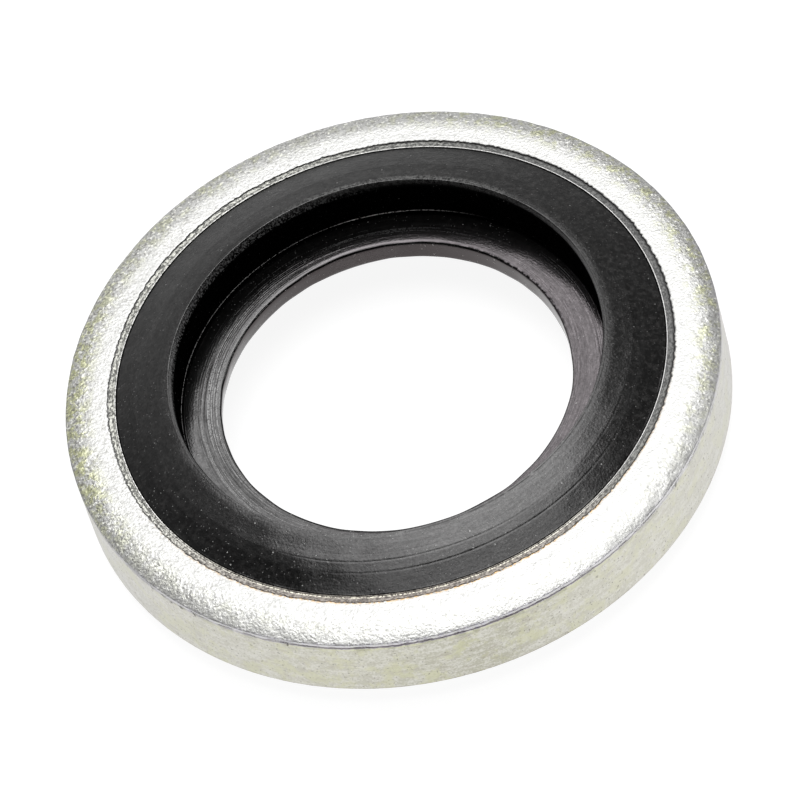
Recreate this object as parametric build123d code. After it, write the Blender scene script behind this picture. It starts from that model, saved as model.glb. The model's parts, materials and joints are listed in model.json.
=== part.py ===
from build123d import *
import os

# Self-centring bonded sealing washer for a G 1/8 port: a flat steel ring with a rubber
# seal moulded and bonded into its bore. The seal has a sealing lip on each face and a
# thin web between them, which centres the washer on a thread.
#
# Sizes are in millimetres. The washer's axis is +Z, and the origin is on that axis, in
# the plane that touches the lower lip, so the free washer rests on z = 0.

# The thread sets the bore of the centring web, and the rest is built outwards from it:
# the web, the seal between the lip bore and the steel, and the steel ring.
web_bore_diameter = 8.60
web_reach = 0.885
seal_width = 1.465
ring_width = 1.29

# Steel ring
ring_thickness = 2.03
# Blanking rolls the upper rim over and leaves the lower rim almost square.
roll_over_width = 0.84
roll_over_drop = 0.27
lower_rim_break = 0.06
# The mould closes on the ring's faces and presses a shallow band round the bore.
mould_band_width = 0.19
mould_band_depth = 0.02

# Rubber seal
lip_height = 0.54
crest_width = 0.09
crest_radius = 0.035
web_thickness = 0.57
web_edge_radius = 0.10
web_root_radius = 0.06

# Heights of the ring's faces and of the seal, from the plane that the lower lip rests on
ring_lower_z = lip_height
ring_upper_z = ring_lower_z + ring_thickness
middle_z = ring_lower_z + ring_thickness / 2
upper_crest_z = ring_upper_z + lip_height
upper_web_z = middle_z + web_thickness / 2

# Radii from the axis, outwards
web_bore_radius = web_bore_diameter / 2
lip_bore_radius = web_bore_radius + web_reach
bond_radius = lip_bore_radius + seal_width
ring_outer_radius = bond_radius + ring_width


def turned(section):
    """Turns a section, drawn as radius and height, once round the washer's axis."""
    return revolve(Plane.XZ * section, Axis.Z)


def make_steel_ring():
    """The blanked ring: square below, rolled over above, with a pressed band at the bore."""
    band_radius = bond_radius + mould_band_width
    band_upper_z = ring_upper_z - mould_band_depth
    band_lower_z = ring_lower_z + mould_band_depth
    roll_start_radius = ring_outer_radius - roll_over_width
    roll_end_z = ring_upper_z - roll_over_drop
    rolled_rim = EllipticalCenterArc(
        center=(roll_start_radius, roll_end_z),
        x_radius=roll_over_width,
        y_radius=roll_over_drop,
        start_angle=0,
        arc_size=90,
    )
    other_sides = Polyline(
        (roll_start_radius, ring_upper_z),
        (band_radius, ring_upper_z),
        (band_radius, band_upper_z),
        (bond_radius, band_upper_z),
        (bond_radius, band_lower_z),
        (band_radius, band_lower_z),
        (band_radius, ring_lower_z),
        (ring_outer_radius - lower_rim_break, ring_lower_z),
        (ring_outer_radius, ring_lower_z + lower_rim_break),
        (ring_outer_radius, roll_end_z),
    )
    return turned(make_face([*rolled_rim.edges(), *other_sides.edges()]))


def make_rubber_seal():
    """The moulded seal: its upper half section, and the same half mirrored below."""
    inner_side = FilletPolyline(
        (web_bore_radius, middle_z),
        (web_bore_radius, upper_web_z),
        (lip_bore_radius, upper_web_z),
        (lip_bore_radius, upper_crest_z),
        (lip_bore_radius + crest_width, upper_crest_z),
        (bond_radius, ring_upper_z - mould_band_depth),
        radius=(web_edge_radius, web_root_radius, crest_radius, crest_radius),
    )
    bonded_side = Polyline(
        (bond_radius, ring_upper_z - mould_band_depth),
        (bond_radius, middle_z),
        (web_bore_radius, middle_z),
    )
    upper_half = make_face([*inner_side.edges(), *bonded_side.edges()])
    middle_plane = Plane(origin=(0, middle_z), z_dir=(0, 1, 0))
    return turned(upper_half + mirror(upper_half, middle_plane))


os.makedirs("parts", exist_ok=True)
export_step(make_steel_ring(), "parts/steel_ring.step")
export_step(make_rubber_seal(), "parts/rubber_seal.step")
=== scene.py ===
# %% [markdown]
# # A self-centring bonded sealing washer
#
# A bonded seal is two things in one: a flat, zinc-plated steel ring, and a black rubber seal
# that is moulded and bonded into its bore. The seal has a sharp lip on each face, which a
# bolt squeezes flat, and a thin web between them, which grips the thread and centres the
# washer. The two solids are already built at their real size. This notebook gives them the
# surfaces that the mould, the press and the plating bath leave, and then lights them.
#
# Everything is in metres in the scene, but the shapes are worked out in millimetres, which
# is how such a washer is drawn.

# %% Load the frame
import json
import math

import bpy
import numpy as np
from mathutils import Matrix, Vector


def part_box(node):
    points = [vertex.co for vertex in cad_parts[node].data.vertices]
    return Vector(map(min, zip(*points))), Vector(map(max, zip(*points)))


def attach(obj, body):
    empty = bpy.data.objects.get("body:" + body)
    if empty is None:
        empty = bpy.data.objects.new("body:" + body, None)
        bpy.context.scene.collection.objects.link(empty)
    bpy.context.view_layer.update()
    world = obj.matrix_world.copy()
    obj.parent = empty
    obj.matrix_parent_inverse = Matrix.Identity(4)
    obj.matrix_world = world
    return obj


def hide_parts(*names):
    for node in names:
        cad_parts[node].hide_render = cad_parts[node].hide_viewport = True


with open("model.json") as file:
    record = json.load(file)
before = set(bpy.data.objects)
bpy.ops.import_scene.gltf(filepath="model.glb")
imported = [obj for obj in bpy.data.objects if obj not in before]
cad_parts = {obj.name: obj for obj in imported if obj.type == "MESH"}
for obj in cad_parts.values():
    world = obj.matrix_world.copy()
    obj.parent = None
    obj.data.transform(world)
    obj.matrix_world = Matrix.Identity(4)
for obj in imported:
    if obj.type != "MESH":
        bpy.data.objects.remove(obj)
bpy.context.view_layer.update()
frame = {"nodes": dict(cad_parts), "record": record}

MM = 0.001
print("nodes in the frame:", sorted(frame["nodes"]))

# %% [markdown]
# ## The sizes that everything hangs on
#
# The boxes of the two solids give the outer radius, the bond between steel and rubber, and
# the heights of the steel's faces and of the lips. The two bores are stated as mounts.
# Nothing is measured twice: the surfaces below are drawn between these few numbers.

# %% Read the driving sizes from the frame, in millimetres
ring_low, ring_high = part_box("steel_ring")
seal_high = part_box("rubber_seal")[1]
mounts = {mount["name"]: mount for mount in frame["record"]["mounts"]}

OUTER_R = ring_high.x / MM
BOND_R = seal_high.x / MM
FACE_Z = ring_high.z / MM
BACK_Z = ring_low.z / MM
CREST_Z = seal_high.z / MM
MIDDLE_Z = (FACE_Z + BACK_Z) / 2
LIP_R = mounts["upper_lip_bore"]["dims"]["r_mm"]
WEB_R = mounts["centring_bore"]["dims"]["r_mm"]
WEB_TOP_Z = MIDDLE_Z + mounts["centring_bore"]["dims"]["length_mm"] / 2
print(f"outer radius {OUTER_R:.3f}, bond {BOND_R:.3f}, lip bore {LIP_R:.3f}, web bore {WEB_R:.3f}")
print(f"face {FACE_Z:.3f}, lip crest {CREST_Z:.3f}, web top {WEB_TOP_Z:.3f}")

# %% [markdown]
# ## A surface of revolution with a life of its own
#
# Both pieces are turned shapes: one closed outline, carried once round the axis. A lathe
# modifier would make them perfectly even, and that is what gives a computer picture away.
# So each piece is computed as a grid instead, one column for each step round the axis and
# one row for each point of the outline. On the grid, radius and height are plain arrays,
# and a ragged edge or an uneven groove is one array added to another.

# %% Draw an outline from its corners
HAIR_FINE = 0.01
NEARLY_STRAIGHT = 0.001
ARC_STEP = math.radians(16)
FEWEST_POINTS = 3


def corner_arc(before, corner, after, fillet):
    """Points of the fillet at one corner, from the side of before to the side of after.

    The centre lies on the corner's bisector, fillet / cos(half the turn) away, and the arc
    swings from one tangent point to the other. A hair-fine fillet has only three points.
    """
    back = (before - corner) / np.hypot(*(before - corner))
    ahead = (after - corner) / np.hypot(*(after - corner))
    half_turn = (math.pi - math.acos(np.clip(back @ ahead, -1, 1))) / 2
    if fillet == 0 or half_turn < NEARLY_STRAIGHT:
        return corner[None]
    bisector = (back + ahead) / np.hypot(*(back + ahead))
    across = (back - ahead) / np.hypot(*(back - ahead))
    steps = 0 if fillet < HAIR_FINE else math.ceil(2 * half_turn / ARC_STEP)
    count = max(FEWEST_POINTS, 1 + steps)
    swing = np.linspace(half_turn, -half_turn, count)
    centre = corner + bisector * fillet / math.cos(half_turn)
    return centre + fillet * (np.outer(np.sin(swing), across) - np.outer(np.cos(swing), bisector))


def closed_outline(corners):
    """Joins corners, rows of (radius, height, fillet, spacing), into a closed outline.

    The run that leaves each corner is divided into equal pieces no longer than its spacing.
    """
    rows = np.array(corners, float)
    places = rows[:, :2]
    before, after = np.roll(places, 1, axis=0), np.roll(places, -1, axis=0)
    arcs = [corner_arc(*row) for row in zip(before, places, after, rows[:, 2])]
    outline = []
    for here, arc in enumerate(arcs):
        run = arcs[(here + 1) % len(arcs)][0] - arc[-1]
        pieces = max(1, math.ceil(np.hypot(*run) / rows[here, 3]))
        outline += [arc, arc[-1] + np.outer(np.arange(1, pieces) / pieces, run)]
    return np.concatenate(outline)


# %% Carry an outline round the axis, and put the result in a mesh
def turned_grid(outline, columns):
    """Angle, radius and height of each grid point: one column for each step round the axis."""
    angle = np.linspace(0, 2 * math.pi, columns, endpoint=False)
    shape = np.ones((columns, len(outline)))
    return angle[:, None] * shape, outline[:, 0] * shape, outline[:, 1] * shape


def grid_points(angle, radius, height):
    """Points x = r cos a, y = r sin a, z, in millimetres."""
    return np.stack([radius * np.cos(angle), radius * np.sin(angle), height], axis=-1)


def grid_normals(points):
    """Outward directions: the step along the outline crossed with the step round the axis."""
    along = np.roll(points, -1, axis=1) - np.roll(points, 1, axis=1)
    around = np.roll(points, -1, axis=0) - np.roll(points, 1, axis=0)
    normals = np.cross(along, around)
    return normals / np.linalg.norm(normals, axis=-1, keepdims=True)


def mesh_from_grid(name, points):
    """A mesh object from a grid that closes on itself both ways, as a ring's surface does."""
    columns, rows = points.shape[:2]
    number = np.arange(columns * rows).reshape(columns, rows)
    onward = np.roll(number, -1, axis=0)
    quads = np.stack([number, np.roll(number, -1, 1), np.roll(onward, -1, 1), onward], axis=-1)
    mesh = bpy.data.meshes.new(name)
    mesh.vertices.add(number.size)
    mesh.vertices.foreach_set("co", (points * MM).ravel())
    mesh.loops.add(quads.size)
    mesh.loops.foreach_set("vertex_index", quads.ravel())
    mesh.polygons.add(number.size)
    mesh.polygons.foreach_set("loop_start", np.arange(0, quads.size, 4))
    mesh.polygons.foreach_set("use_smooth", np.ones(number.size, bool))
    mesh.update(calc_edges=True)
    piece = bpy.data.objects.new(name, mesh)
    bpy.context.scene.collection.objects.link(piece)
    print(f"{name}: {columns} columns of {rows} points, {2 * number.size} triangles")
    return piece


# %% The four sides of the washer, as bearings round its axis in degrees
RIGHT = 0
FAR = 90
LEFT = 180
NEAR = -90
print("right, far, left, near:", RIGHT, FAR, LEFT, NEAR)


# %% Unevenness: fields over the surface, and lines that wander round the ring
def uneven(points, wavelength, seed, waves=48):
    """A smooth random field of about unit height over points, in millimetres.

    It is a sum of plane waves of one wavelength, with random directions and phases.
    """
    dice = np.random.default_rng(seed)
    directions = dice.normal(size=(3, waves))
    directions *= 2 * math.pi / wavelength / np.linalg.norm(directions, axis=0)
    phases = dice.uniform(0, 2 * math.pi, waves)
    return np.cos(points @ directions + phases).sum(axis=-1) * math.sqrt(2 / waves)


def wander(angle, slowest, fastest, seed):
    """A line of about unit height that wanders as it goes round and meets its own start.

    It is a sum of cosines with a whole number of waves round the ring, from slowest to fastest.
    """
    dice = np.random.default_rng(seed)
    waves = np.arange(slowest, fastest + 1)
    phases = dice.uniform(0, 2 * math.pi, len(waves))
    return np.cos(np.outer(angle, waves) + phases).sum(axis=1) * math.sqrt(2 / len(waves))


def bumped(value, centre, width):
    """One at centre, falling to nothing over width on both sides, as a raised cosine."""
    near = np.clip(np.abs(value - centre) / width, 0, 1)
    return (1 + np.cos(math.pi * near)) / 2


def facing(angle, bearing, spread):
    """One where angle points along bearing, falling to nothing spread away, in degrees."""
    apart = np.degrees(np.abs(np.angle(np.exp(1j * (angle - math.radians(bearing))))))
    return bumped(apart, 0, spread)


# %% [markdown]
# ## The steel ring
#
# The ring is blanked from sheet. The punch drags the upper rim down into a wide, soft
# shoulder and leaves the lower rim almost square. The shoulder and the side meet in a fine
# crease. The mould then closes on both faces just outside the rubber and presses a narrow
# band there. Its edge is ragged, where a skin of bonding film breaks off, and right beside
# the rubber the metal stands up in a thin bright burr, with a hair-wide slit inside it.
#
# All of that is finer than the sheet's thickness, so it isn't in the solid. The new surface
# keeps the solid's sizes and adds the fine forms to the outline, and then moves the band's
# edge in and out as it goes round.

# %% Sizes of the ring's fine forms, in millimetres
ROLL_WIDTH = 0.84
ROLL_DROP = 0.205
ROLL_POWER = 2.4
ROLL_POINTS = 20
ROLL_STEP = 0.05
RIM_ROUND = 0.022
RIM_BREAK = 0.06
BREAK_ROUND = 0.03
SLIT_WIDTH = 0.014
SLIT_DEPTH = 0.06
BURR_WIDTH = 0.040
BURR_HEIGHT = 0.016
BURR_ROUND = 0.007
BAND_R = BOND_R + 0.185
BAND_DEPTH = 0.020
TRENCH_WIDTH = 0.030
TRENCH_DEPTH = 0.022
TRENCH_SLANT = 0.008
TRENCH_ROUND = 0.004
CREASE_DROP = 0.078
CREASE_HALF_HEIGHT = 0.012
CREASE_DEPTH = 0.007
FINE_STEP = 0.01
COARSE_STEP = 0.2
RING_COLUMNS = 800


def band_corners(face, inwards):
    """Corners of slit, burr, band and trench on one face, from the bore outwards.

    face is the height of the face, and inwards is -1 on the upper face and +1 on the lower.
    """
    burr_r = BOND_R + SLIT_WIDTH
    depth = inwards * BAND_DEPTH
    burr = face + depth - inwards * BURR_HEIGHT
    trench = face + depth + inwards * TRENCH_DEPTH
    return [
        (BOND_R, face + inwards * SLIT_DEPTH, 0, 0.5),
        (burr_r, face + depth * 1.6, 0.003, 2 * FINE_STEP),
        (burr_r + 0.003, burr, BURR_ROUND, FINE_STEP),
        (burr_r + BURR_WIDTH * 0.6, burr, BURR_ROUND, FINE_STEP),
        (burr_r + BURR_WIDTH, face + depth, BURR_ROUND, 0.016),
        (BAND_R, face + depth * 1.1, TRENCH_ROUND, FINE_STEP),
        (BAND_R + TRENCH_SLANT, trench, TRENCH_ROUND, FINE_STEP),
        (BAND_R + TRENCH_WIDTH - TRENCH_SLANT, trench, TRENCH_ROUND, FINE_STEP),
        (BAND_R + TRENCH_WIDTH, face + inwards * 0.002, 0.006, 0.015),
        (BAND_R + 2.5 * TRENCH_WIDTH, face, 0, 0.06),
    ]


def plain_corners(corners):
    """The same corners without fillets, for a face that stands on the table."""
    return [(radius, height, 0, COARSE_STEP) for radius, height, *_ in corners]


def roll_over(points):
    """Corners from the flat face out to the side, falling as a power of the way across."""
    across = np.linspace(0, 1, points)
    radius = OUTER_R - ROLL_WIDTH * (1 - across)
    height = FACE_Z - ROLL_DROP * across**ROLL_POWER
    fillet = np.where(across == 1, RIM_ROUND, 0)
    return np.stack([radius, height, fillet, np.full(points, ROLL_STEP)], axis=1).tolist()


# %% Draw the ring's outline
crease_z = FACE_Z - ROLL_DROP - RIM_ROUND - CREASE_DROP
ring_outline = closed_outline(
    band_corners(FACE_Z, -1)
    + roll_over(ROLL_POINTS)
    + [
        (OUTER_R, crease_z + CREASE_HALF_HEIGHT, 0.004, FINE_STEP),
        (OUTER_R - CREASE_DEPTH, crease_z, 0.003, FINE_STEP),
        (OUTER_R, crease_z - CREASE_HALF_HEIGHT, 0.004, 0.16),
        (OUTER_R, BACK_Z + RIM_BREAK, BREAK_ROUND, ROLL_STEP),
        (OUTER_R - RIM_BREAK, BACK_Z, BREAK_ROUND, COARSE_STEP),
    ]
    + plain_corners(band_corners(BACK_Z, +1)[::-1])
)
print(f"ring outline: {len(ring_outline)} points")

# %% Move the band's ragged edge, and let the crease sway
FRAY_DEPTH = 0.010
DRIFT_DEPTH = 0.006
EDGE_LIMIT = 0.02
TEAR_DEPTH = 0.09
TEAR_LEVEL = 1.9
CREASE_SWAY = 0.012
SWAY_WIDTH = 0.3
SWAY_HEIGHT = 0.12
MOVED_STRIP = (BAND_R - 0.06, BAND_R, BAND_R + TRENCH_WIDTH, BAND_R + 0.2)

angle, radius, height = turned_grid(ring_outline, RING_COLUMNS)
round_angle = angle[:, 0]
ragged = FRAY_DEPTH * wander(round_angle, 40, 360, seed=3)
ragged += DRIFT_DEPTH * wander(round_angle, 3, 20, seed=4)
tears = TEAR_DEPTH * np.clip(wander(round_angle, 60, 300, seed=5) - TEAR_LEVEL, 0, 1)
ragged = np.clip(ragged, -EDGE_LIMIT, EDGE_LIMIT) + tears * facing(round_angle, RIGHT + 30, 110)
edge_share = np.interp(radius, MOVED_STRIP, [0, 1, 1, 0])
radius = radius + edge_share * ragged[:, None]
crease_share = bumped(radius, OUTER_R, SWAY_WIDTH) * bumped(height, crease_z, SWAY_HEIGHT)
height = height + crease_share * CREASE_SWAY * wander(round_angle, 5, 60, seed=6)[:, None]
print(f"ragged edge: {ragged.min():.3f} to {ragged.max():.3f} mm")

# %% Dimple the face, and make the mesh
BROAD_DENTS = (0.0022, 0.55)
SMALL_DENTS = (0.0014, 0.27)
FACE_SINKS = 0.004
DENTED_FROM = BAND_R + 0.1
DENTED_BLEND = 0.15


def dents(points, depth_and_width, seed):
    """Random dents of a depth and a width, in millimetres."""
    depth, width = depth_and_width
    return depth * uneven(points, width, seed)


ring_points = grid_points(angle, radius, height)
on_top = np.clip((radius - DENTED_FROM) / DENTED_BLEND, 0, 1) * (height > BACK_Z + RIM_BREAK)
dimples = dents(ring_points, BROAD_DENTS, seed=7) + dents(ring_points, SMALL_DENTS, seed=8)
ring_points += grid_normals(ring_points) * (on_top * (dimples - FACE_SINKS))[..., None]
ring_skin = mesh_from_grid("steel_ring_skin", ring_points)

# %% [markdown]
# ## The rubber seal
#
# The seal takes its surface from a turned mould cavity. The lip's long slope isn't one cone:
# the toolmaker cut it in four passes, each a little flatter than the last. The outer two end
# in a fine scored line that the rubber copies, and two finer lines lie on the third. The crest
# is bevelled towards the bore, and the wall behind it has a witness ledge just above the web.
#
# The web's bore is where the mould's halves met. It was trimmed by hand: its upper and its
# lower edge each stray from the true circle in their own way, its upper edge is sharp in one
# place and worn round in another, and a thin flash is left along the lower one. Those three
# are lists of twelve values round the axis, and the grid is moved by them. Each list could be
# a curve object instead, but twelve numbers are easier to read and to change.

# %% Sizes of the seal's fine forms, in millimetres
PASS_ENDS = (BOND_R - 0.48, BOND_R - 0.74, BOND_R - 1.21)
PASS_DROPS = (0.344, 0.236, 0.079)
PASS_ROUND = 0.02
INNER_PASS_ROUND = 1.6
CREST_R = LIP_R + 0.087
CREST_DROP = 0.040
CREST_BEVEL = 0.24
BEVEL_ROUND = 0.06
FOOT_R = LIP_R + 0.19
LEDGE_Z = WEB_TOP_Z + 0.125
LEDGE_WIDTH = 0.012
WEB_ROOT = 0.03
WEB_EDGE = 0.12
FLASH_RISE = 0.07
FLASH_RUN = 0.30
BORE_LOW_Z = 2 * MIDDLE_Z - WEB_TOP_Z + FLASH_RISE
UPPER_STEP = 0.016
LOWER_STEP = 0.045
HIDDEN_STEP = 0.5
SEAL_COLUMNS = 300


def slope_to_bond(step):
    """Corners of the outer passes and of the buried edge beside the steel, on either lip."""
    return [
        (PASS_ENDS[1], CREST_Z - PASS_DROPS[1], PASS_ROUND, step),
        (PASS_ENDS[0], CREST_Z - PASS_DROPS[0], PASS_ROUND, step),
        (BOND_R - 0.010, FACE_Z - BAND_DEPTH + 0.004, 0.008, FINE_STEP),
        (BOND_R - 0.001, FACE_Z - SLIT_DEPTH, 0, HIDDEN_STEP),
    ]


def upper_half(step):
    """Corners above the middle of the section, from the web's bore out to the bond."""
    return [
        (WEB_R, WEB_TOP_Z, WEB_EDGE, 1.3 * step),
        (LIP_R - LEDGE_WIDTH, WEB_TOP_Z, WEB_ROOT, 3 * step),
        (LIP_R - LEDGE_WIDTH, LEDGE_Z, 0.004, step),
        (LIP_R, LEDGE_Z + LEDGE_WIDTH / 2, 0.003, 8 * step),
        (LIP_R, CREST_Z - CREST_BEVEL, BEVEL_ROUND, step),
        (CREST_R, CREST_Z - CREST_DROP, 0.02, step),
        (PASS_ENDS[2], CREST_Z - PASS_DROPS[2], INNER_PASS_ROUND, step),
    ] + slope_to_bond(step)


def lower_half(step):
    """Corners below the middle, turned upwards: a thin flash at the bore and a flatter lip."""
    return [
        (WEB_R, WEB_TOP_Z - FLASH_RISE, 0.008, 2 * step),
        (WEB_R + FLASH_RUN, WEB_TOP_Z, 0.05, 3 * step),
        (LIP_R, WEB_TOP_Z, WEB_ROOT, 3 * step),
        (LIP_R, CREST_Z - CREST_BEVEL, BEVEL_ROUND, step),
        (FOOT_R, CREST_Z, 0.03, step),
    ] + slope_to_bond(step)


def mirrored(corners):
    """The same corners below the middle of the section, in the order that closes it."""
    return [(row[0], 2 * MIDDLE_Z - row[1], row[2], row[3]) for row in corners[::-1]]


# %% Draw the seal's outline
seal_outline = closed_outline(upper_half(UPPER_STEP) + mirrored(lower_half(LOWER_STEP)))
print(f"seal outline: {len(seal_outline)} points")

# %% Score the tool lines into the lip's slope
SCORED_LINES = ((PASS_ENDS[0], 0.006, 0.036, 11), (PASS_ENDS[1], 0.010, 0.034, 12),
                (BOND_R - 0.91, 0.003, 0.032, 13), (BOND_R - 1.15, 0.005, 0.030, 14))
LINE_DRIFT = 0.006
LINE_LIMITS = (0.1, 1.3)
SLOPE = (LIP_R + 0.06, BOND_R - 0.02)

angle, radius, height = turned_grid(seal_outline, SEAL_COLUMNS)
round_angle = angle[:, 0]
on_slope = (radius > SLOPE[0]) * (radius < SLOPE[1]) * (height > FACE_Z)
cuts = 0 * radius
at_near = facing(round_angle, NEAR + 10, 66)
for line_r, depth, width, seed in SCORED_LINES:
    fading = np.clip(0.75 + 0.4 * wander(round_angle, 1, 6, seed), *LINE_LIMITS) * at_near
    drift = LINE_DRIFT * wander(round_angle, 1, 9, seed + 20)[:, None]
    cuts += depth * fading[:, None] * bumped(radius, line_r + drift, width)
height = height - cuts * on_slope
print(f"deepest scored line: {cuts.max():.4f} mm")

# %% Trim the web's bore: twelve values round the axis, the first at its right
UPPER_TRIM = (-0.050, -0.060, -0.036, -0.028, -0.062, -0.080,
              -0.065, -0.047, -0.051, -0.051, 0.012, 0.014)
LOWER_TRIM = (-0.055, -0.065, -0.060, -0.030, -0.008, 0.000,
              0.000, -0.010, -0.020, -0.030, -0.035, -0.040)
EDGE_SOFTNESS = (0.35, 0.45, 0.70, 0.85, 0.60, 0.42,
                 0.32, 0.45, 0.80, 0.85, 0.45, 0.35)
TRIM_REACH = LIP_R - 0.25
TRIM_RAGGED = 0.003


def by_bearing(angle, values):
    """Values spaced evenly round the axis from bearing 0, joined by raised cosines."""
    step = 360 / len(values)
    return sum(value * facing(angle, step * turn, step) for turn, value in enumerate(values))


on_edge = (radius < WEB_R + WEB_EDGE + 0.001) * (height > WEB_TOP_Z - WEB_EDGE - 0.001)
edge_scale = 1 - on_edge * (1 - by_bearing(angle, EDGE_SOFTNESS))
radius = WEB_R + (radius - WEB_R) * edge_scale
height = WEB_TOP_Z + (height - WEB_TOP_Z) * edge_scale
design_radius = radius.copy()

edge_share = np.clip((TRIM_REACH - radius) / (TRIM_REACH - WEB_R), 0, 1)
upper_share = np.clip((height - BORE_LOW_Z) / (WEB_TOP_Z - WEB_EDGE - BORE_LOW_Z), 0, 1)
trim = upper_share * by_bearing(angle, UPPER_TRIM) + (1 - upper_share) * by_bearing(angle, LOWER_TRIM)
trim = trim + TRIM_RAGGED * wander(round_angle, 3, 40, seed=17)[:, None]
radius = radius + edge_share * trim
print(f"bore from {2 * radius.min():.2f} mm across")

# %% Let the rubber swell and sink a little, and make the mesh
SWELL = (0.0020, 0.9)
RUBBER_SINKS = 0.003
SHOWS_TO_R = BOND_R - 0.015

seal_points = grid_points(angle, radius, height)
visible = radius < SHOWS_TO_R
swell = dents(seal_points, SWELL, seed=18)
seal_points += grid_normals(seal_points) * (visible * (swell - RUBBER_SINKS))[..., None]
seal_skin = mesh_from_grid("rubber_seal_skin", seal_points)

# %% [markdown]
# ## Patterns as sums
#
# A procedural finish is a sum: this noise, minus that ring, times a stain. The two classes
# below keep it readable. Their methods add nodes and return an output, and take numbers and
# outputs alike, so a finish reads as the sum it is. All places are in millimetres, from the
# object's own coordinates, so that a pattern stays where it is when the washer moves.
#
# Three kinds of number make up a finish. Sizes and places are in millimetres: a line is its
# place and its reach, and an edge or a side is where it begins and where it is full. Levels
# are the two values of a noise between which a patch begins to show and shows in full. The
# rest are shares from 0 to 1: how strongly a layer lies over the ones below it.

# %% A tree of nodes, written as sums of their outputs
class NodeSums:
    """A tree of nodes. Each method adds what it needs and returns the output that holds it."""

    def __init__(self, tree):
        self.tree = tree

    def feed(self, node, inputs):
        """Sets the inputs of node where a value is a number, and links it where it is an output."""
        for socket, value in inputs.items():
            if isinstance(value, bpy.types.NodeSocket):
                self.tree.links.new(value, node.inputs[socket])
            else:
                node.inputs[socket].default_value = value

    def node(self, kind, output=0, inputs=None, **settings):
        """Adds a node, feeds its inputs, and returns one of its outputs."""
        made = self.tree.nodes.new(kind)
        for setting, value in settings.items():
            setattr(made, setting, value)
        self.feed(made, inputs or {})
        return made.outputs[output]

    def maths(self, operation, *values):
        """One arithmetic step, such as ADD or MULTIPLY."""
        return self.node("ShaderNodeMath", 0, dict(enumerate(values)), operation=operation)

    def times(self, first, *others):
        """The product of all its values."""
        for other in others:
            first = self.maths("MULTIPLY", first, other)
        return first

    def without(self, value):
        """What value leaves of one."""
        return self.maths("SUBTRACT", 1, value)

    def plus(self, first, *others):
        """The sum of all its values."""
        for other in others:
            first = self.maths("ADD", first, other)
        return first

    def share(self, value, start, end, low=0, high=1):
        """Goes smoothly from low where value is start to high where it is end."""
        inputs = {"Value": value, "From Min": start, "From Max": end, "To Min": low, "To Max": high}
        return self.node("ShaderNodeMapRange", 0, inputs, interpolation_type="SMOOTHSTEP")


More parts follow.
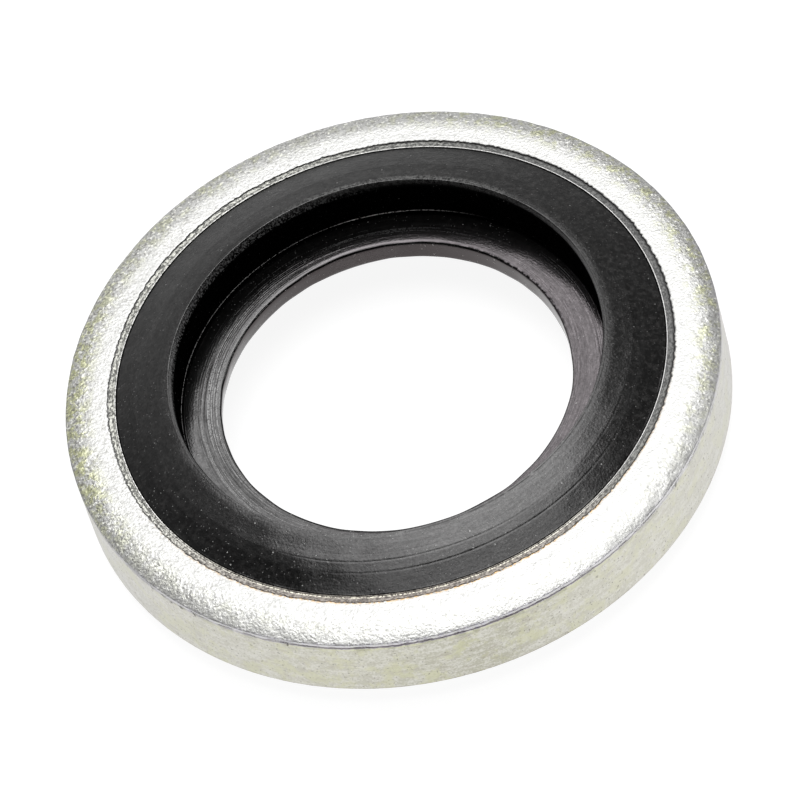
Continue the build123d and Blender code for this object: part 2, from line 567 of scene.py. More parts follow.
# %% A finish: a material whose nodes know their place on the washer
class Finish(NodeSums):
    """A material with a Principled surface, and the nodes of its pattern."""

    def __init__(self, name):
        self.material = bpy.data.materials.new(name)
        self.material.use_nodes = True
        super().__init__(self.material.node_tree)
        own = self.node("ShaderNodeTexCoord", "Object")
        self.place = self.node("ShaderNodeVectorMath", 0, {0: own, "Scale": 1 / MM}, operation="SCALE")
        self.x, self.y, self.z = (self.node("ShaderNodeSeparateXYZ", i, {0: self.place}) for i in range(3))
        flat = self.node("ShaderNodeCombineXYZ", 0, {0: self.x, 1: self.y})
        self.radius = self.node("ShaderNodeVectorMath", "Value", {0: flat}, operation="LENGTH")
        self.bearing = self.node("ShaderNodeVectorMath", 0, {0: flat}, operation="NORMALIZE")

    def near(self, value, centre, width):
        """One where value is centre, falling to 0 at width on both sides."""
        apart = self.maths("ABSOLUTE", self.maths("SUBTRACT", value, centre))
        return self.share(apart, width, 0)

    def facing(self, bearing, spread):
        """One on the side of the axis at bearing, falling to 0 spread away, in degrees."""
        way = (math.cos(math.radians(bearing)), math.sin(math.radians(bearing)), 0)
        cosine = self.node("ShaderNodeVectorMath", "Value", {0: self.bearing, 1: way},
                           operation="DOT_PRODUCT")
        return self.share(cosine, math.cos(math.radians(spread)), 1)

    def by_side(self, everywhere, *sides):
        """A value for the whole ring, and more or less on some sides: (bearing, spread, more)."""
        added = [self.times(self.facing(bearing, spread), more) for bearing, spread, more in sides]
        return self.plus(everywhere, *added)

    def noise(self, size, detail=2, place=None, **inputs):
        """Cloudy noise from 0 to 1, whose largest features are about size millimetres."""
        inputs = {"Vector": place or self.place, "Scale": 1 / size, "Detail": detail, **inputs}
        return self.node("ShaderNodeTexNoise", 0, inputs)

    def patches(self, levels, size, detail=2, place=None, **inputs):
        """Patches of noise that begin at the first of two levels and are full at the second."""
        return self.share(self.noise(size, detail, place, **inputs), *levels)

    def above(self, level, size, detail, edge):
        """Spots of noise where it is over level, which may differ from place to place."""
        return self.share(self.maths("SUBTRACT", self.noise(size, detail), level), *edge)

    def cells(self, size, output="Distance"):
        """Scattered points about size millimetres apart: the distance to one, or its own colour."""
        return self.node("ShaderNodeTexVoronoi", output, {"Vector": self.place, "Scale": 1 / size})

    def drawn_round(self, length, width, across):
        """Places for a pattern that runs round the axis: length long and width wide, in
        millimetres, where across is the value that it is narrow in."""
        stretched = self.node("ShaderNodeVectorMath", 0, {0: self.bearing, "Scale": OUTER_R / length},
                              operation="SCALE")
        lift = self.node("ShaderNodeCombineXYZ", 0, {2: self.times(across, 1 / width)})
        return self.node("ShaderNodeVectorMath", 0, {0: stretched, 1: lift}, operation="ADD")

    def mix(self, factor, under, over):
        """Colour over laid on colour under, as far as factor says."""
        inputs = {0: factor, 6: under, 7: over}
        return self.node("ShaderNodeMix", 2, inputs, data_type="RGBA")

    def layers(self, under, *rows):
        """Lays colours on each other in turn: each row is a colour, its strength and its place."""
        for over, strength, place in rows:
            under = self.mix(self.times(place, strength), under, over)
        return under

    def blend(self, factor, under, over):
        """Value over in place of value under, as far as factor says."""
        return self.node("ShaderNodeMix", 0, {0: factor, 2: under, 3: over})

    def relief(self, height, depth, normal=None):
        """Bends the surface as if height, from 0 to 1, stood depth metres proud."""
        inputs = {"Height": height, "Distance": depth}
        if normal:
            inputs["Normal"] = normal
        return self.node("ShaderNodeBump", 0, inputs)

    def report(self, part):
        """Says how far the finish has got."""
        print(f"{self.material.name}, {part}: {len(self.tree.nodes)} nodes")

    def wear(self, piece, **inputs):
        """Sets the surface's inputs, by their names with _ for a space, and dresses the piece."""
        named = {socket.replace("_", " "): value for socket, value in inputs.items()}
        self.feed(self.tree.nodes["Principled BSDF"], named)
        piece.data.materials.clear()
        piece.data.materials.append(self.material)
        self.report(piece.name)


# %% [markdown]
# ## The plated steel
#
# The plating is only a few micrometres of zinc, passivated afterwards, which leaves it silver
# grey with pale olive stains. It hides nothing of the metal below: the sheet's fine grit
# stands all over the faces, and each grain turns like a little mirror, towards the lamp or
# away from it. The side is the cut edge of the sheet, duller and yellower, and drawn out in
# streaks round the ring.
#
# One flat grey with one roughness would look like painted plastic. Here the finish is built
# in the order in which the real one came about: the metal's colour, its stains, its pits and
# bright grains, then the tints at the rim and what the mould did beside the rubber. Over them
# lie painted highlights on the near rim, on the sides beside the front and on the burr, and
# painted shade on the rim's edge, in the crease, in the trench and in the slit.
# The grit itself is relief and not colour, so it answers to any light as real grit does.

# %% Plated steel: where things are
SIDE_EDGE = (OUTER_R - 0.035, OUTER_R - 0.012)
UNDER_CREASE = (crease_z + 0.02, crease_z)
SHOULDER = (OUTER_R - ROLL_WIDTH, OUTER_R - 0.25)


def colour(red, green, blue):
    """A plain colour, in linear light."""
    return (red, green, blue, 1)


def grey(level):
    """A neutral colour, in linear light."""
    return colour(level, level, level)


def keep_outline_radius(piece, radii):
    """Stores on each point of piece the radius that it has on the plain outline."""
    kept = piece.data.attributes.new("outline_radius", "FLOAT", "POINT")
    kept.data.foreach_set("value", radii.ravel())


keep_outline_radius(ring_skin, np.broadcast_to(ring_outline[:, 0], ring_points.shape[:2]))
zinc = Finish("passivated_zinc")
ring_r = zinc.node("ShaderNodeAttribute", "Fac", attribute_name="outline_radius")
on_side = zinc.times(zinc.share(zinc.radius, *SIDE_EDGE), zinc.share(zinc.z, *UNDER_CREASE))
shoulder = zinc.share(zinc.radius, *SHOULDER)
at_left = zinc.facing(LEFT, 130)
at_right = zinc.facing(RIGHT + 10, 110)
at_front = zinc.facing(NEAR, 80)
zinc.report("places")

# %% Plated steel: stains on the shoulder
STAIN_SIZE = 0.30
STAIN_LEVELS = (0.46, 0.62)
CLEAN_ZINC = colour(0.515, 0.515, 0.505)
STAINED_ZINC = colour(0.47, 0.48, 0.30)

stained_side = zinc.by_side(0.20, (LEFT - 8, 34, 0.80), (RIGHT + 20, 70, 0.65), (FAR + 35, 40, 0.35))
cloud = zinc.plus(zinc.noise(STAIN_SIZE, 3, Roughness=0.75), zinc.times(zinc.facing(LEFT - 5, 60), 0.05))
stain = zinc.times(zinc.share(cloud, *STAIN_LEVELS), shoulder, stained_side)
face = zinc.mix(stain, CLEAN_ZINC, STAINED_ZINC)
zinc.report("stains")

# %% Plated steel: pits and bright grains on the face, and a painted highlight on the near rim
PIT_SIZE = 0.072
PIT_EDGE = (0.05, -0.04)
PIT_GREY = colour(0.24, 0.235, 0.22)
GRAIN_SIZE = 0.080
GRAIN_EDGE = (0, 0.08)
BRIGHT_GRAIN = colour(0.95, 0.95, 0.90)
OLIVE_GRAIN = colour(0.86, 0.87, 0.56)
NEAR_HIGHLIGHT_RIM = (OUTER_R - 0.45, OUTER_R - 0.12)
RIM_LIGHT = (OUTER_R - 0.17, OUTER_R - 0.07)
HIGHLIGHT_ZINC = colour(0.76, 0.76, 0.74)

# The near rim is painted a paler zinc, strongest at the front: painted highlight. rim_light adds a little
# more of it along the edge.
near_rim_highlight = zinc.times(zinc.share(zinc.radius, *NEAR_HIGHLIGHT_RIM), at_front)
land_level = zinc.plus(0.34, zinc.times(at_left, 0.09))
pit_level = zinc.blend(shoulder, land_level, zinc.plus(0.43, zinc.times(near_rim_highlight, 0.08)))
pit = zinc.above(pit_level, PIT_SIZE, 2, PIT_EDGE)
pit_strength = zinc.plus(0.40, zinc.times(at_left, shoulder, 0.26), zinc.times(shoulder, 0.15),
                         zinc.times(at_front, -0.15))
face = zinc.mix(zinc.times(pit, pit_strength), face, PIT_GREY)

grain_level = zinc.plus(0.58, zinc.times(at_left, -0.03))
bright = zinc.above(grain_level, GRAIN_SIZE, 2, GRAIN_EDGE)
face = zinc.mix(zinc.times(bright, shoulder, 0.75), face, zinc.mix(stain, BRIGHT_GRAIN, OLIVE_GRAIN))
rim_light = zinc.times(zinc.share(zinc.radius, *RIM_LIGHT), zinc.facing(NEAR, 125))
face = zinc.mix(zinc.plus(zinc.times(near_rim_highlight, 0.70), zinc.times(rim_light, 0.22)), face, HIGHLIGHT_ZINC)
zinc.report("face")

# %% Plated steel: streaks, blotches and flecks on the cut side
STREAK_LENGTH = 0.9
STREAK_WIDTH = 0.11
BLOTCH_SIZE = 0.38
FLECK_SIZE = 0.055
SIDE_LEVELS = (0.42, 0.57)
SIDE_PALE = colour(0.72, 0.71, 0.65)
SIDE_DULL = colour(0.53, 0.52, 0.43)

blotch = zinc.noise(BLOTCH_SIZE, 4, Roughness=0.7)
streaks = zinc.noise(1.0, 4, zinc.drawn_round(STREAK_LENGTH, STREAK_WIDTH, zinc.z), Roughness=0.7)
tone = zinc.plus(zinc.times(streaks, 0.36), zinc.times(blotch, 0.30),
                 zinc.times(zinc.noise(FLECK_SIZE, 2), 0.34))
side = zinc.mix(zinc.share(tone, *SIDE_LEVELS), SIDE_PALE, SIDE_DULL)
zinc.report("side")

# %% Plated steel: films, pits, a painted highlight and a brown foot over the side
OLIVE_SIZE = 0.62
OLIVE_LEVELS = (0.47, 0.62)
OLIVE_FILM = colour(0.63, 0.63, 0.40)
SMEAR_LENGTH = 0.45
SMEAR_WIDTH = 0.144
SMEAR_LEVELS = (0.53, 0.68)
BROWN_FILM = colour(0.42, 0.38, 0.32)
SIDE_HIGHLIGHT = colour(0.90, 0.89, 0.83)
FLANK_GREY = colour(0.66, 0.655, 0.675)
SIDE_PIT_SIZE = 0.060
SIDE_PIT_LEVELS = (0.34, 0.27)
SIDE_PIT = colour(0.20, 0.18, 0.15)
FOOT = (BACK_Z + RIM_BREAK + 0.05, BACK_Z + RIM_BREAK)
FOOT_BROWN = colour(0.27, 0.21, 0.17)

smear_place = zinc.drawn_round(SMEAR_LENGTH, SMEAR_WIDTH, zinc.z)
# side_highlight paints the side, and the rim's edge above it, paler on either side of the front: painted
# highlight.
side_highlight = zinc.plus(zinc.times(zinc.facing(NEAR - 45, 50), 0.6), zinc.facing(NEAR + 48, 50))
flanks = zinc.without(zinc.facing(NEAR, 95))
# The side turns brown towards its bottom edge.
foot = zinc.share(zinc.plus(zinc.z, zinc.times(blotch, 0.05)), *FOOT)
side = zinc.layers(
    side,
    (OLIVE_FILM, 0.65, zinc.patches(OLIVE_LEVELS, OLIVE_SIZE, 4, Roughness=0.7)),
    (BROWN_FILM, 0.5, zinc.patches(SMEAR_LEVELS, 1.0, 4, smear_place, Roughness=0.75)),
    (SIDE_HIGHLIGHT, 0.42, side_highlight),
    (FLANK_GREY, 0.6, flanks),
    (SIDE_PIT, 0.6, zinc.patches(SIDE_PIT_LEVELS, SIDE_PIT_SIZE, 1)),
    (FOOT_BROWN, 0.7, foot),
)
steel = zinc.mix(on_side, face, side)
zinc.report("films")

# %% Plated steel: the rim's edge in painted shade and tints, a yellow fringe, and painted shade in the crease under it
RIM_SHADE = colour(0.25, 0.245, 0.28)
RIM_PURPLE = colour(0.24, 0.20, 0.27)
RIM_LAVENDER = colour(0.60, 0.59, 0.67)
RIM_HIGHLIGHT = colour(0.95, 0.94, 0.97)
RIM_PATCH_SIZE = 0.10
RIM_PATCH_LEVELS = (0.40, 0.58)
RIM_TONE_SIZE = 0.07
RIM_TONE_LEVELS = (0.30, 0.62)
RIM_EDGE = (OUTER_R - 0.055, OUTER_R - 0.015)
RIM_FOOT = (crease_z - 0.08, crease_z - 0.04)
FRINGE_LINE = (crease_z - 0.09, 0.05)
CREASE_SHADE_LINE = (crease_z - 0.012, 0.045)
WAVE_SIZE = 0.12
FRINGE_YELLOW = colour(0.74, 0.75, 0.50)
CREASE_SHADE = colour(0.13, 0.10, 0.14)

off_face = zinc.share(zinc.radius, *RIM_EDGE)
wavy_z = zinc.plus(zinc.z, zinc.times(zinc.noise(WAVE_SIZE, 2), 0.08), -0.04)
rim_patch = zinc.patches(RIM_PATCH_LEVELS, RIM_PATCH_SIZE, 3, Roughness=0.7)
# The rim's edge is painted dark grey away from the front, painted shade where it turns from the light. At
# the front it is dark purple and lavender in patches, and it is near white where the side highlight is, a
# painted highlight.
rim = zinc.mix(at_front, RIM_SHADE, zinc.mix(rim_patch, RIM_PURPLE, RIM_LAVENDER))
rim = zinc.layers(rim, (RIM_HIGHLIGHT, 0.8, side_highlight))
rim_tone = zinc.times(off_face, zinc.patches(RIM_TONE_LEVELS, RIM_TONE_SIZE),
                      zinc.share(wavy_z, *RIM_FOOT))
# A dark line is painted along the crease, strongest at the front: painted shade. Its share also carries
# the yellow fringe below it.
crease_line_share = zinc.times(off_face, zinc.by_side(0.08, (NEAR - 2, 46, 0.80)))
fringe = zinc.times(zinc.near(wavy_z, *FRINGE_LINE), crease_line_share)
crease_shade = zinc.times(zinc.near(wavy_z, *CREASE_SHADE_LINE), crease_line_share)
steel = zinc.layers(steel, (rim, 0.7, rim_tone), (FRINGE_YELLOW, 0.6, fringe), (CREASE_SHADE, 1, crease_shade))
zinc.report("rim and crease")

# %% Plated steel: the pressed band beside the rubber
CRUMB_SIZE = 0.045
CRUMB_LEVELS = (0.40, 0.60)
LEFT_BAND = (colour(0.10, 0.10, 0.095), colour(0.50, 0.50, 0.46))
RIGHT_BAND = (colour(0.060, 0.0605, 0.060), colour(0.135, 0.135, 0.133))
FRONT_BAND = (colour(0.10, 0.09, 0.083), colour(0.25, 0.228, 0.208))
BAND_SIDE = (BAND_R + 0.012, BAND_R + 0.004)
LANE_LINE = (BOND_R + 0.092, 0.036)
LANE_SIZE = 0.07
LANE_LEVELS = (0.34, 0.56)
LANE_DARK = colour(0.06, 0.06, 0.057)
RUST_LINE = (BAND_R + TRENCH_WIDTH + 0.01, 0.055)
RUST = colour(0.56, 0.37, 0.17)

by_front = zinc.facing(NEAR - 14, 62)
crumbs = zinc.noise(1.0, 2, zinc.drawn_round(2 * CRUMB_SIZE, CRUMB_SIZE, ring_r), Roughness=0.6)
crumb = zinc.share(crumbs, *CRUMB_LEVELS)
lane = zinc.times(zinc.near(ring_r, *LANE_LINE), zinc.patches(LANE_LEVELS, LANE_SIZE))
left_band = zinc.layers(zinc.mix(crumb, *LEFT_BAND), (LANE_DARK, 0.85, lane))
band = zinc.mix(at_right, left_band, zinc.mix(crumb, *RIGHT_BAND))
band = zinc.mix(by_front, band, zinc.mix(crumb, *FRONT_BAND))
steel = zinc.mix(zinc.share(ring_r, *BAND_SIDE), steel, band)
rust = zinc.times(zinc.near(ring_r, *RUST_LINE), at_front, crumb)
steel = zinc.mix(rust, steel, RUST)
zinc.report("band")

# %% Plated steel: the burr with its painted highlight, and painted shade in the trench and the slit that border the band
BURR_HIGHLIGHT = colour(0.84, 0.83, 0.82)
BURR_YELLOW = colour(0.74, 0.72, 0.60)
BEAD_SIZE = 0.05
BEAD_EDGE = (0, 0.14)
GAP_SIZE = 0.09
GAP_LEVELS = (0.36, 0.52)
BURR_R = BOND_R + SLIT_WIDTH + 0.5 * BURR_WIDTH
TRENCH_R = BAND_R + TRENCH_WIDTH / 2
TRENCH_REACH = (0.028, 0.060)
SLIT_SIDE = (BOND_R + SLIT_WIDTH + 0.004, BOND_R + SLIT_WIDTH - 0.004)
SHADE_BLACK = colour(0.012, 0.011, 0.011)

# The raised burr is painted near white, yellower at the front: a painted highlight where its edge catches
# the light.
burr_r = zinc.plus(BURR_R, zinc.times(by_front, 0.030))
bead_level = zinc.plus(0.38, zinc.times(by_front, 0.08))
beads = zinc.above(bead_level, BEAD_SIZE, 1, BEAD_EDGE)
burr_reach = zinc.blend(by_front, 0.7 * BURR_WIDTH, BURR_WIDTH)
on_burr = zinc.times(zinc.near(ring_r, burr_r, burr_reach), zinc.blend(at_right, beads, 0.8))
steel = zinc.layers(steel, (zinc.mix(by_front, BURR_HIGHLIGHT, BURR_YELLOW), 0.85, on_burr))

# The trench and the slit are painted black and not metallic: painted shade in the recess and in the gap
# beside the rubber.
ragged_r = zinc.plus(ring_r, zinc.times(crumbs, 0.05), -0.025)
gaps = zinc.patches(GAP_LEVELS, GAP_SIZE)
in_trench = zinc.near(ragged_r, TRENCH_R, zinc.blend(at_right, *TRENCH_REACH))
trench_shade = zinc.times(in_trench, zinc.blend(at_right, zinc.times(gaps, 0.8), 1.0),
                         zinc.plus(1, zinc.times(at_front, -0.5)))
steel = zinc.mix(trench_shade, steel, SHADE_BLACK)
steel = zinc.mix(zinc.share(ring_r, *SLIT_SIDE), steel, SHADE_BLACK)
zinc.report("burr and trench")

# %% Plated steel: the grit's relief, and the whole finish
GRIT_SIZE = 0.064
GRIT_LEVELS = (0.25, 0.75)
FINE_GRIT_SIZE = 0.055
GRIT_DEPTH = 0.0072
KEPT_ROUGH = -0.0026
SMOOTHED_NEAR = (NEAR, 80, 0.0030)
SMOOTHED_RIGHT = (NEAR + 55, 55, 0.0034)
ZINC_ROUGHNESS = 0.5

grit = zinc.patches(GRIT_LEVELS, GRIT_SIZE, 2, Roughness=0.5)
grit = zinc.plus(zinc.times(grit, 0.7), zinc.times(zinc.noise(FINE_GRIT_SIZE, 1), 0.3))
grit = zinc.times(grit, zinc.without(zinc.times(on_side, 0.75)))
smoothed = zinc.by_side(KEPT_ROUGH, SMOOTHED_NEAR, SMOOTHED_RIGHT)
grit_depth = zinc.maths("SUBTRACT", GRIT_DEPTH, zinc.times(shoulder, smoothed))
zinc.wear(ring_skin, Base_Color=steel, Metallic=zinc.without(trench_shade),
          Roughness=ZINC_ROUGHNESS, Normal=zinc.relief(grit, zinc.times(grit_depth, MM)))

# %% [markdown]
# ## The rubber
#
# Nitrile rubber is filled with carbon black and sends back less than a hundredth of the light
# that goes into it. All that is seen of its shape is its gloss. So this finish hardly uses
# colour: it says where the skin is smooth and where it is matt. The wall inside the lip is
# matt, and painted a deeper black: painted shade. The web and the long slope are satin, and
# the mould's tool marks show on them as rings of more and less gloss, with painted highlights
# on their ridges. The crest has a few chips, and painted highlights lie along the crest and
# the ledge in the wall.
#
# The tool marks could be cut into the mesh, but they are finer than a hundredth of a
# millimetre, so only the deepest are. The rest are relief and gloss. On top of it all lies
# what rubber always collects, a thin film and specks of dust.

# %% Rubber: where things are
WALL_OUTSIDE = (LIP_R + 0.055, LIP_R + 0.025)
WALL_INSIDE = (LIP_R - 0.055, LIP_R - 0.035)
WALL_FOOT = (MIDDLE_Z, MIDDLE_Z + 0.1)
WEB_SIDE = (LIP_R + 0.03, LIP_R - 0.02)
BORE_EDGE = (WEB_R + 0.014, WEB_R + 0.004)
BORE_SIDE = (WEB_R + 0.75, WEB_R + 0.25)
HIGH_UP = (CREST_Z - 0.27, CREST_Z - 0.22)

keep_outline_radius(seal_skin, design_radius)
rubber = Finish("moulded_nitrile")
seal_r = rubber.node("ShaderNodeAttribute", "Fac", attribute_name="outline_radius")
on_wall = rubber.times(rubber.share(rubber.radius, *WALL_OUTSIDE),
                       rubber.share(rubber.radius, *WALL_INSIDE), rubber.share(rubber.z, *WALL_FOOT))
on_web = rubber.share(rubber.radius, *WEB_SIDE)
off_web = rubber.without(on_web)
on_bore = rubber.share(seal_r, *BORE_EDGE)
off_bore = rubber.without(on_bore)
near_bore = rubber.share(rubber.radius, *BORE_SIDE)
high_up = rubber.share(rubber.z, *HIGH_UP)
rubber_left = rubber.facing(LEFT, 130)
rubber.report("places")

# %% Rubber: the black itself, and a thin film on it
BLACK = grey(0.002)
FILM_SIZE = 0.14
FILM_LEVELS = (0.42, 0.70)
FILM_GREY = colour(0.024, 0.0235, 0.023)
WEB_BLACK = grey(0.003)
WALL_SHADE_BLACK = grey(0.0015)

film = rubber.times(rubber.patches(FILM_LEVELS, FILM_SIZE, 4, Roughness=0.7),
                    rubber.plus(1, rubber.times(rubber_left, -0.35)))
# The wall inside the lip is painted a deeper black than the rest: painted shade.
black = rubber.layers(BLACK, (FILM_GREY, 1, film), (WEB_BLACK, 0.8, on_web), (WALL_SHADE_BLACK, 1, on_wall))
rubber.report("film")

# %% Rubber: specks of dust, from coarse to fine
DUST = ((0.30, 0.080, 0.50, 0.40), (0.17, 0.11, 0.38, 0.22), (0.10, 0.18, 0.30, 0.11))
BORE_SPECKS = (0.12, 0.23, 0.55)
BORE_DUST = colour(0.75, 0.74, 0.72)

dusty = rubber.by_side(0.32, (NEAR - 20, 115, 0.68))


def specks(apart, reach, chosen_above):
    """One in some of the cells that are apart millimetres wide, reach of a cell in radius."""
    chosen = rubber.share(rubber.cells(apart, "Color"), chosen_above, chosen_above + 0.03)
    return rubber.times(rubber.share(rubber.cells(apart), reach, reach * 0.6), chosen)


for apart, reach, chosen_above, level in DUST:
    speck = rubber.times(specks(apart, reach, chosen_above), dusty)
    black = rubber.mix(speck, black, colour(level, level, 0.98 * level))
rubber.report("dust")

# %% Rubber: chips on the crest, painted highlights on the crest and the ledge, and dust in the bore
CHIPPED = (LIP_R + 0.12, LIP_R + 0.08)
CHIP_SIZE = 0.048
CHIP_LEVELS = (0.46, 0.60)
CHIP_GREY = grey(0.125)
LEDGE_LINE = (LEDGE_Z + 0.003, 0.016)
LEDGE_SIZE = 0.055
LEDGE_LEVELS = (0.34, 0.56)
LEDGE_HIGHLIGHT_GREY = colour(0.42, 0.415, 0.41)
CREST_HIGHLIGHT_LINE = (LIP_R + 0.15, 0.14)
CREST_HIGHLIGHT_SIZE = 0.07
CREST_HIGHLIGHT_LEVELS = (0.36, 0.66)
CREST_HIGHLIGHT_GREY = colour(0.13, 0.13, 0.128)

chips = rubber.times(rubber.share(rubber.radius, *CHIPPED), high_up, rubber.facing(FAR + 40, 55),
                     rubber.patches(CHIP_LEVELS, CHIP_SIZE))
# The ledge in the wall is painted light grey in broken patches, mostly on the far side: painted highlight
# along its edge. Its share also keeps some gloss on the wall.
ledge_light = rubber.by_side(0.40, (FAR - 20, 26, 1.8), (FAR + 55, 50, 0.40))
ledge_highlight = rubber.times(rubber.near(rubber.z, *LEDGE_LINE), rubber.facing(FAR + 35, 78),
                        rubber.patches(LEDGE_LEVELS, LEDGE_SIZE), ledge_light)
# A grey band is painted along the crest on the far side: painted highlight.
crest_highlight = rubber.times(rubber.near(rubber.radius, *CREST_HIGHLIGHT_LINE), rubber.facing(FAR - 18, 42), high_up,
                      rubber.patches(CREST_HIGHLIGHT_LEVELS, CREST_HIGHLIGHT_SIZE, 3, Roughness=0.7))
black = rubber.layers(
    black,
    (CHIP_GREY, 1, chips),
    (LEDGE_HIGHLIGHT_GREY, on_wall, ledge_highlight),
    (CREST_HIGHLIGHT_GREY, 1, crest_highlight),
    (BORE_DUST, on_bore, specks(*BORE_SPECKS)),
)
rubber.report("wear")

# %% Rubber: the relief of the skin and of the tool marks
SKIN_SIZE = 0.085
FINE_SKIN_SIZE = 0.045
SKIN_DEPTH = 0.0060
RING_LENGTH = 4.0
RING_WIDTH = 0.04
RING_DEPTH = 0.008

skin = rubber.plus(rubber.times(rubber.noise(SKIN_SIZE, 3, Roughness=0.6), 0.6),
                   rubber.times(rubber.noise(FINE_SKIN_SIZE, 1), 0.4))
skin_share = rubber.times(off_bore, rubber.plus(1, rubber.times(on_web, -0.4)))
rubber_normal = rubber.relief(rubber.times(skin, skin_share), SKIN_DEPTH * MM)
tooled = rubber.facing(LEFT - 28, 92)
rings = rubber.noise(1.0, 3, rubber.drawn_round(RING_LENGTH, RING_WIDTH, rubber.radius))
ring_share = rubber.blend(near_bore, 0.10, rubber.plus(0.10, rubber.times(tooled, 0.90)))
rubber_normal = rubber.relief(rubber.times(rings, ring_share), RING_DEPTH * MM, rubber_normal)
rubber.report("relief")

# %% Rubber: fine rings of tool marks, with painted highlights on their ridges
MARK_LENGTH = 6.0
MARK_WIDTH = 0.023
CREST_MARKS = (LIP_R + 0.17, 0.17)
WALL_MARKS = (LIP_R - 0.20, 0.16)
DOT_SIZE = 0.05
DOT_LEVELS = (0.36, 0.52)
SCORE_LEVELS = (0.47, 0.40)
RIDGE_LEVELS = (0.55, 0.61)
RIDGE_HIGHLIGHT_GREY = grey(0.14)

marks = rubber.noise(1.0, 3, rubber.drawn_round(MARK_LENGTH, MARK_WIDTH, rubber.radius), Roughness=0.65)
on_crest = rubber.near(rubber.radius, *CREST_MARKS)
by_wall = rubber.times(rubber.near(rubber.radius, *WALL_MARKS), rubber.facing(RIGHT - 20, 60))
mark_share = rubber.plus(rubber.times(near_bore, rubber.plus(0.25, rubber.times(tooled, 0.75))),
                         rubber.times(on_crest, 0.25), rubber.times(by_wall, 0.8))
scores = rubber.times(rubber.share(marks, *SCORE_LEVELS), mark_share)
dotted = rubber.patches(DOT_LEVELS, DOT_SIZE, 1)
ridges = rubber.times(rubber.share(marks, *RIDGE_LEVELS), mark_share, dotted)
# The ridges of the tool marks on the web are painted grey in dotted lines: painted highlight, over the
# real ring relief.
ridge_highlight = rubber.times(ridges, on_web, rubber.without(on_wall))
black = rubber.mix(ridge_highlight, black, RIDGE_HIGHLIGHT_GREY)
rubber.report("tool marks")

# %% Rubber: the gloss of the slope and the web
SCUFF_LENGTH = 0.35
SCUFF_WIDTH = 0.05
SATIN = 0.66
PASS_BLUR = 0.02
CLOUD_SIZE = 0.055
CREST_LINE = (CREST_R + 0.055, 0.030)
CREST_LINE_SIZE = 0.25
CREST_LINE_LEVELS = (0.32, 0.50)

scuff_place = rubber.drawn_round(SCUFF_LENGTH, SCUFF_WIDTH, rubber.radius)
scuffs = rubber.noise(1.0, 3, scuff_place, Roughness=0.7)
slope_scuffed = rubber.plus(0.6, rubber.times(scuffs, 0.8))
scuffed = rubber.blend(on_web, slope_scuffed, rubber.plus(0.2, rubber.times(scuffs, 1.6)))
marked = rubber.plus(1, rubber.times(scores, -0.9), rubber.times(ridges, 0.9))
gloss = rubber.maths("MINIMUM", rubber.times(SATIN, scuffed, marked), 1)
gloss_cloud = rubber.noise(CLOUD_SIZE, 2, Roughness=0.7)
gloss = rubber.times(gloss, rubber.plus(0.55, rubber.times(gloss_cloud, 0.9)))
outer_pass, middle_pass = (rubber.share(rubber.radius, end - PASS_BLUR, end + PASS_BLUR)
                           for end in PASS_ENDS[:2])
crest_line = rubber.times(rubber.near(rubber.radius, *CREST_LINE), rubber.facing(NEAR + 30, 60),
                          rubber.patches(CREST_LINE_LEVELS, CREST_LINE_SIZE, 3))
gloss = rubber.times(gloss, rubber.plus(1, rubber.times(middle_pass, -0.12),
                                        rubber.times(outer_pass, -0.20), rubber.times(crest_line, -0.6)))
slope_right = rubber.times(rubber.facing(RIGHT - 12, 50), off_web,
                           rubber.share(rubber.radius, *PASS_ENDS[:2]))
gloss = rubber.times(gloss, rubber.plus(rubber.by_side(1, (NEAR - 48, 50, -0.15)),
                                        rubber.times(slope_right, -0.30)))
rubber.report("gloss of the slope")

# %% Rubber: the gloss round the trimmed bore, and the matt wall
BEAD_LINE = (WEB_R + 0.085, 0.06)
TORN_LINE = (WEB_R + 0.04, 0.07)
TORN_SIZE = 0.13
TORN_LEVELS = (0.44, 0.53)
BORE_GLOSS = 0.66
BLACK_LINE = (WEB_R + 0.024, 0.022)
BLACK_EDGE_GLOSS = 0.03

on_bead = rubber.times(rubber.near(seal_r, *BEAD_LINE), rubber.facing(FAR + 10, 75))
gloss = rubber.blend(on_bead, gloss, 1.0)
torn = rubber.times(rubber.patches(TORN_LEVELS, TORN_SIZE, 3), rubber.facing(RIGHT + 32, 42),
                    rubber.near(seal_r, *TORN_LINE))
gloss = rubber.times(gloss, rubber.without(torn))
gloss = rubber.blend(on_bore, gloss, BORE_GLOSS)
black_edge = rubber.times(rubber.near(seal_r, *BLACK_LINE),
                          rubber.maths("MINIMUM", rubber.times(rubber.facing(LEFT - 30, 150), 2), 1))
gloss = rubber.blend(black_edge, gloss, BLACK_EDGE_GLOSS)
gloss = rubber.blend(on_wall, gloss, rubber.times(ledge_highlight, 0.8))
rubber.report("gloss of the bore")

# %% Rubber: the whole finish
PLAIN_SHEEN = colour(1, 0.99, 0.99)
WEB_SHEEN = colour(1, 0.91, 0.95)
BORE_SHEEN = colour(1, 0.84, 0.85)
SLOPE_ROUGHNESS = 0.23
WEB_ROUGHNESS = 0.15
BORE_ROUGHNESS = 0.12

sheen = rubber.mix(rubber.times(on_web, rubber.without(rubber_left)), PLAIN_SHEEN, WEB_SHEEN)
sheen = rubber.mix(on_bore, sheen, BORE_SHEEN)
roughness = rubber.blend(on_web, SLOPE_ROUGHNESS, WEB_ROUGHNESS)
roughness = rubber.blend(on_bore, roughness, BORE_ROUGHNESS)
rubber.wear(seal_skin, Base_Color=black, Roughness=roughness, Specular_IOR_Level=gloss,
            Specular_Tint=sheen, Normal=rubber_normal)

# %% [markdown]
# ## Putting the surfaces in the frame
#
# The washer is one rigid body, the root. Each surface rides on it and takes the place of its
# plain solid, which isn't rendered any more.

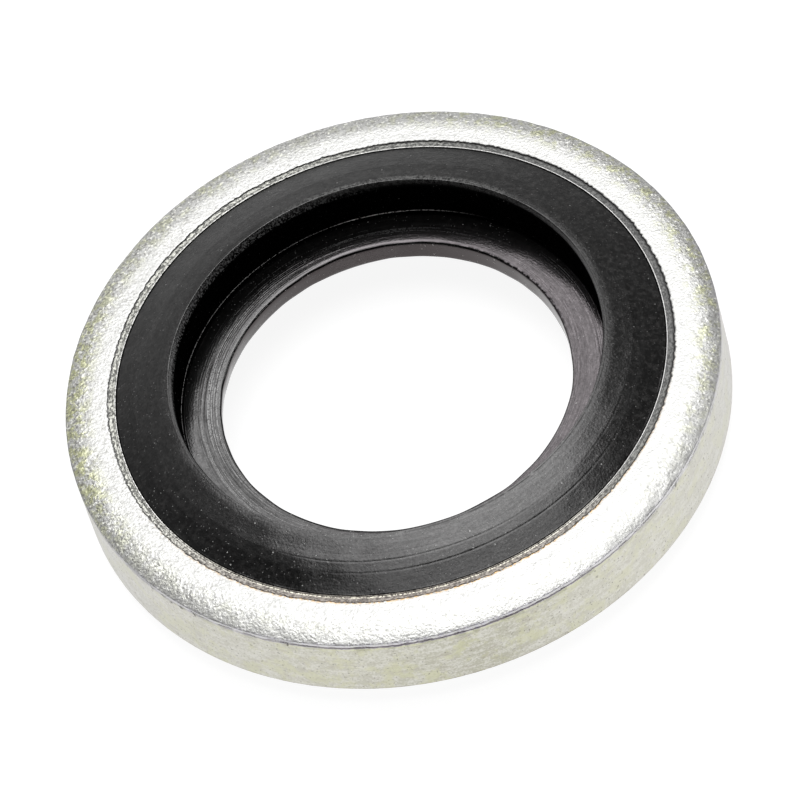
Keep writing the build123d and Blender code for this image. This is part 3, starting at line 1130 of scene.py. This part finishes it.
# %% Ride and replace
for skin_piece, node_name, slot_name in ((ring_skin, "steel_ring", "zinc_steel"),
                                         (seal_skin, "rubber_seal", "nitrile_rubber")):
    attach(skin_piece, "root")
    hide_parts(node_name)
    print(f"{skin_piece.name} takes the place of {node_name}")

# %% [markdown]
# ## The table, the lamp and the room
#
# Shiny metal is a picture of its room, so the room matters as much as the metal. A small
# part is usually shot on white paper under one long soft box. White paper all round would
# fill the side with its own light and flatten it. So the paper here is dark to the light
# that falls on it, and its white is a glow that only the camera, a reflection or a view
# through glass picks up. The washer's shadow still falls on it.
#
# The soft box gives the flat face its even white, and its far and near edges are what the
# rolled shoulder shades off into. The room behind the camera is dark and the room beyond the
# washer is pale, which is what keeps the black rubber's shape readable. Its light is three
# fades multiplied. Each is four numbers: between which two values of a direction's upward,
# far or right share the light changes, and from how much to how much.

# %% A pale floor that keeps the washer's shadow
FLOOR_HALF = 1.0
FLOOR_GLOW = 0.91
FLOOR_GREY = 0.19
FLOOR_ROUGHNESS = 0.9
WHITE = grey(1)
floor_mesh = bpy.data.meshes.new("floor")
corners = np.array([(-1, -1, 0), (1, -1, 0), (1, 1, 0), (-1, 1, 0)]) * FLOOR_HALF
floor_mesh.from_pydata(corners.tolist(), [], [(0, 1, 2, 3)])
floor = bpy.data.objects.new("floor", floor_mesh)
bpy.context.scene.collection.objects.link(floor)

paper = Finish("white_paper")
ways_seen = [paper.node("ShaderNodeLightPath", f"Is {kind} Ray")
             for kind in ("Camera", "Glossy", "Transmission")]
glow = paper.times(paper.maths("MINIMUM", paper.plus(*ways_seen), 1), FLOOR_GLOW)
paper.wear(floor, Base_Color=grey(FLOOR_GREY), Roughness=FLOOR_ROUGHNESS, Specular_IOR_Level=0.0,
           Emission_Color=WHITE, Emission_Strength=glow)

# %% One long soft box overhead
BOX_PLACE = Vector((0.010, 0.085, 0.30))
BOX_FACES = Vector((0.12, 0.25, 1.0)).normalized()
BOX_WIDTH = 0.27
BOX_LENGTH = 0.46
BOX_SPREAD = 100
BOX_POWER = 0.56
lamp = bpy.data.lights.new("overhead_soft_box", "AREA")
lamp.shape = "RECTANGLE"
lamp.size = BOX_WIDTH
lamp.size_y = BOX_LENGTH
lamp.spread = math.radians(BOX_SPREAD)
lamp.energy = BOX_POWER
soft_box = bpy.data.objects.new("overhead_soft_box", lamp)
across = Vector((0, 1, 0)).cross(BOX_FACES).normalized()
box_axes = Matrix((across, BOX_FACES.cross(across), BOX_FACES)).transposed()
soft_box.matrix_world = Matrix.Translation(BOX_PLACE) @ box_axes.to_4x4()
bpy.context.scene.collection.objects.link(soft_box)
print(f"soft box {BOX_WIDTH} by {BOX_LENGTH} m, {BOX_PLACE.z:.2f} m up")

# %% A studio that is pale beyond the washer and dark behind the camera
FADE_UP = (0.12, 0.62, 0.75, 0.36)
FADE_BEYOND = (-0.1, 0.45, 0.05, 1.0)
FADE_RIGHT = (-0.2, 0.35, 1.0, 0.6)
room = bpy.data.worlds.new("studio")
bpy.context.scene.world = room
room.use_nodes = True
sky = NodeSums(room.node_tree)
way = sky.node("ShaderNodeTexCoord", "Generated")
right, beyond, up = (sky.node("ShaderNodeSeparateXYZ", axis, {0: way}) for axis in range(3))
room_light = sky.times(sky.share(up, *FADE_UP), sky.share(beyond, *FADE_BEYOND),
                       sky.share(right, *FADE_RIGHT))
sky.feed(sky.tree.nodes["Background"], {"Color": WHITE, "Strength": room_light})
print(f"room: {len(sky.tree.nodes)} nodes")

# %% [markdown]
# ## The camera
#
# A long lens looks down at the washer from about fifty degrees, so that the two rims stay
# nearly the same ellipse and the drop from the lip to the web can be read. The camera is
# also rolled on its own axis, which sets the washer askew, as if it had just been put down.

# %% The camera
CAMERA_AIM = (0, -0.001085, 0.00257)
CAMERA_DISTANCE = 0.16557
CAMERA_ELEVATION = 51.335
CAMERA_ROLL = -17.306
CAMERA_LENS = 314.79
SENSOR_WIDTH = 36
CLIP_START = 0.01
CLIP_END = 10
camera_data = bpy.data.cameras.new("camera")
camera_data.lens = CAMERA_LENS
camera_data.sensor_width = SENSOR_WIDTH
camera_data.clip_start = CLIP_START
camera_data.clip_end = CLIP_END
camera = bpy.data.objects.new("camera", camera_data)
bpy.context.scene.collection.objects.link(camera)
bpy.context.scene.camera = camera
tilt = Matrix.Rotation(math.radians(90 - CAMERA_ELEVATION), 4, "X")
roll = Matrix.Rotation(math.radians(CAMERA_ROLL), 4, "Z")
stand_off = Matrix.Translation((0, 0, CAMERA_DISTANCE))
camera.matrix_world = Matrix.Translation(CAMERA_AIM) @ tilt @ stand_off @ roll
bpy.context.scene.view_settings.view_transform = "Standard"
print(f"camera {CAMERA_DISTANCE} m away, {CAMERA_LENS} mm lens")
